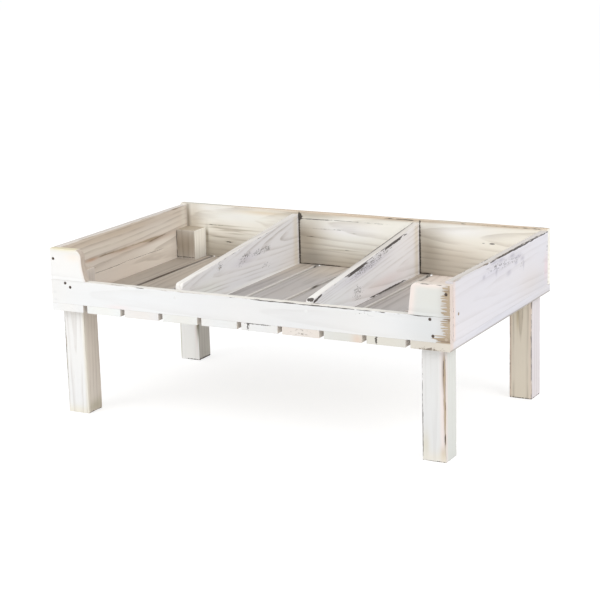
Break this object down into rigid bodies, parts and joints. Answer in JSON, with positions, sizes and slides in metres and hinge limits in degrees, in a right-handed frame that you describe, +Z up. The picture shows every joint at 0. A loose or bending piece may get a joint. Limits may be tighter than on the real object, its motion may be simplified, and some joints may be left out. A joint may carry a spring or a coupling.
{
  "type": "crate display stand",
  "caption": "Low shop display crate of whitewashed boards on square legs, with a slatted floor, bays between sloping dividers, and a low front rail with raised corners.",
  "frame": {"origin": "on the ground under the middle of the crate", "axes": "+X along the front to the right as seen from the front, +Y from the front rail towards the back board, +Z up"},
  "size_m": [0.9, 0.534, 0.36],
  "materials": {
    "whitewashed_board": "white wash, rubbed through at the edges, matt",
    "whitewashed_divider": "thin white wash over grey wood, matt",
    "whitewashed_leg": "white wash, rubbed through at the corners, matt",
    "floor_slat": "thin grey wash over bare wood, matt",
    "nail": "dull dark steel"
  },
  "bodies": {
    "root": {"leg_front_left": "whitewashed_leg", "leg_front_right": "whitewashed_leg", "leg_back_left": "whitewashed_leg", "leg_back_right": "whitewashed_leg", "front_rail": "whitewashed_board", "front_ear_left": "whitewashed_board", "front_ear_right": "whitewashed_board", "side_board_left": "whitewashed_board", "side_board_right": "whitewashed_board", "back_board": "whitewashed_board", "divider_left": "whitewashed_divider", "divider_right": "whitewashed_divider", "floor_slat_1": "floor_slat", "floor_slat_2": "floor_slat", "floor_slat_3": "floor_slat", "floor_slat_4": "floor_slat", "floor_slat_5": "floor_slat", "floor_slat_6": "floor_slat", "floor_slat_7": "floor_slat", "floor_slat_8": "floor_slat", "floor_slat_9": "floor_slat", "floor_slat_10": "floor_slat", "nails_front": "nail", "nails_back": "nail", "nails_side_left": "nail", "nails_side_right": "nail", "nails_floor": "nail", "nails_dividers": "nail"}
  },
  "joints": []
}
